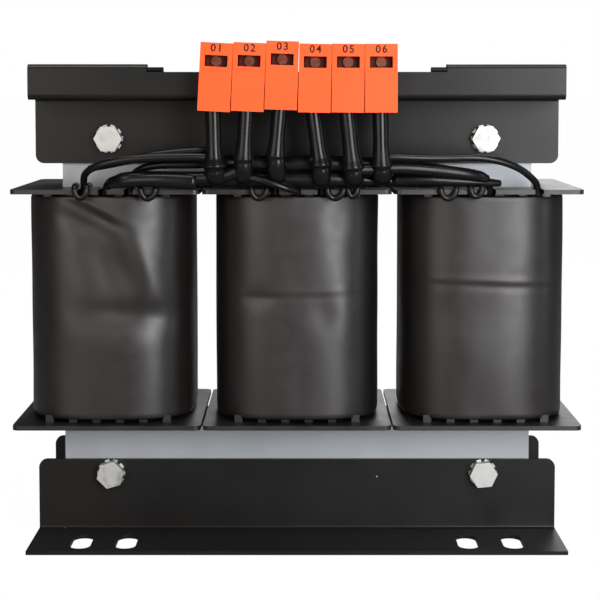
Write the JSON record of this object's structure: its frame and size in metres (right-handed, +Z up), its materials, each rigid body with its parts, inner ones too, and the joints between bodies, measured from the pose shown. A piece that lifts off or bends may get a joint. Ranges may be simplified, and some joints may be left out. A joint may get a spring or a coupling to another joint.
{
  "type": "dry type transformer",
  "caption": "Open-frame three-phase dry transformer: laminated core, wrapped coils on bobbins, sheet clamp brackets with slotted feet, and orange screw terminals on a front rail.",
  "frame": {"origin": "on the floor under the middle of the core", "axes": "+X to the right along the core, +Y from the terminal side to the rear, +Z up"},
  "size_m": [0.2988, 0.147, 0.2626],
  "materials": {
    "core_steel": "dull rolled steel edges with fine lamination lines",
    "black_paint": "semi-gloss black paint",
    "zinc": "bright zinc plating",
    "orange_plastic": "orange moulded polyamide",
    "terminal_metal": "nickel plating",
    "bobbin_plastic": "black glass-filled plastic",
    "insulation_paper": "pressed insulation paper",
    "copper": "enamelled copper wire, stated as brass because the list has no copper",
    "wrap_film": "satin black insulation film",
    "sleeve": "glossy black shrunk sleeve",
    "lead_cover": "glossy black lead cover"
  },
  "bodies": {
    "root": {"bobbin_left": "bobbin_plastic", "bobbin_middle": "bobbin_plastic", "bobbin_right": "bobbin_plastic", "clamp_bolts": "zinc", "clamp_nuts": "zinc", "coil_wrap_left": "wrap_film", "coil_wrap_middle": "wrap_film", "coil_wrap_right": "wrap_film", "core_e_laminations_inverted": "core_steel", "core_e_laminations_upright": "core_steel", "core_i_laminations_bottom": "core_steel", "core_i_laminations_top": "core_steel", "lead_1": "lead_cover", "lead_2": "lead_cover", "lead_3": "lead_cover", "lead_4": "lead_cover", "lead_5": "lead_cover", "lead_6": "lead_cover", "lead_sleeve_1": "sleeve", "lead_sleeve_2": "sleeve", "lead_sleeve_3": "sleeve", "lead_sleeve_4": "sleeve", "lead_sleeve_5": "sleeve", "lead_sleeve_6": "sleeve", "lower_bracket_front": "black_paint", "lower_bracket_rear": "black_paint", "phase_link": "lead_cover", "primary_winding_left": "copper", "primary_winding_middle": "copper", "primary_winding_right": "copper", "rear_washers": "zinc", "secondary_winding_left": "copper", "secondary_winding_middle": "copper", "secondary_winding_right": "copper", "terminal_clamps": "terminal_metal", "terminal_housing_1": "orange_plastic", "terminal_housing_2": "orange_plastic", "terminal_housing_3": "orange_plastic", "terminal_housing_4": "orange_plastic", "terminal_housing_5": "orange_plastic", "terminal_housing_6": "orange_plastic", "terminal_screws": "terminal_metal", "toothed_lock_washers": "zinc", "upper_bracket_front": "black_paint", "upper_bracket_rear": "black_paint", "winding_insulation_left": "insulation_paper", "winding_insulation_middle": "insulation_paper", "winding_insulation_right": "insulation_paper"}
  },
  "joints": []
}
